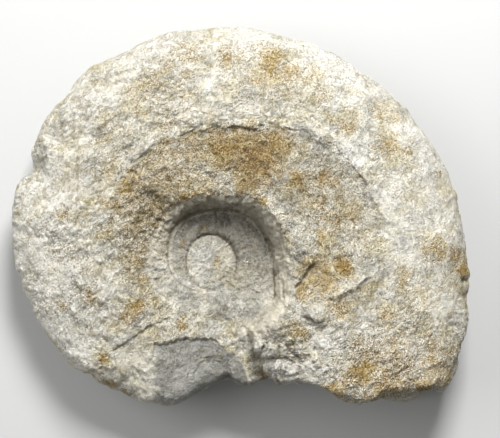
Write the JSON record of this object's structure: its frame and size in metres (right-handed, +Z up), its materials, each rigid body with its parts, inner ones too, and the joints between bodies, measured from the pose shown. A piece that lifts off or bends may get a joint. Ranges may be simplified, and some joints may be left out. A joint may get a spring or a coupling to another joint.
{
  "type": "ammonite fossil",
  "caption": "Coiled ammonite fossil, a limestone shell cast with a sunken umbilicus, worn flanks and a broken mouth, lying flat on its worn side.",
  "frame": {"origin": "on the ground, under the middle of the bounding box", "axes": "+Z up, away from the worn side that the fossil lies on; +X along its longest side, from the oldest part of the last whorl's back towards the whorl that ends at the mouth; +Y away from the broken mouth edge"},
  "size_m": [0.133, 0.1108, 0.0338],
  "materials": {
    "limestone": "dry, matt, rough weathered limestone, cream to grey with ochre iron stains"
  },
  "bodies": {
    "root": {"ammonite": "limestone"}
  },
  "joints": []
}
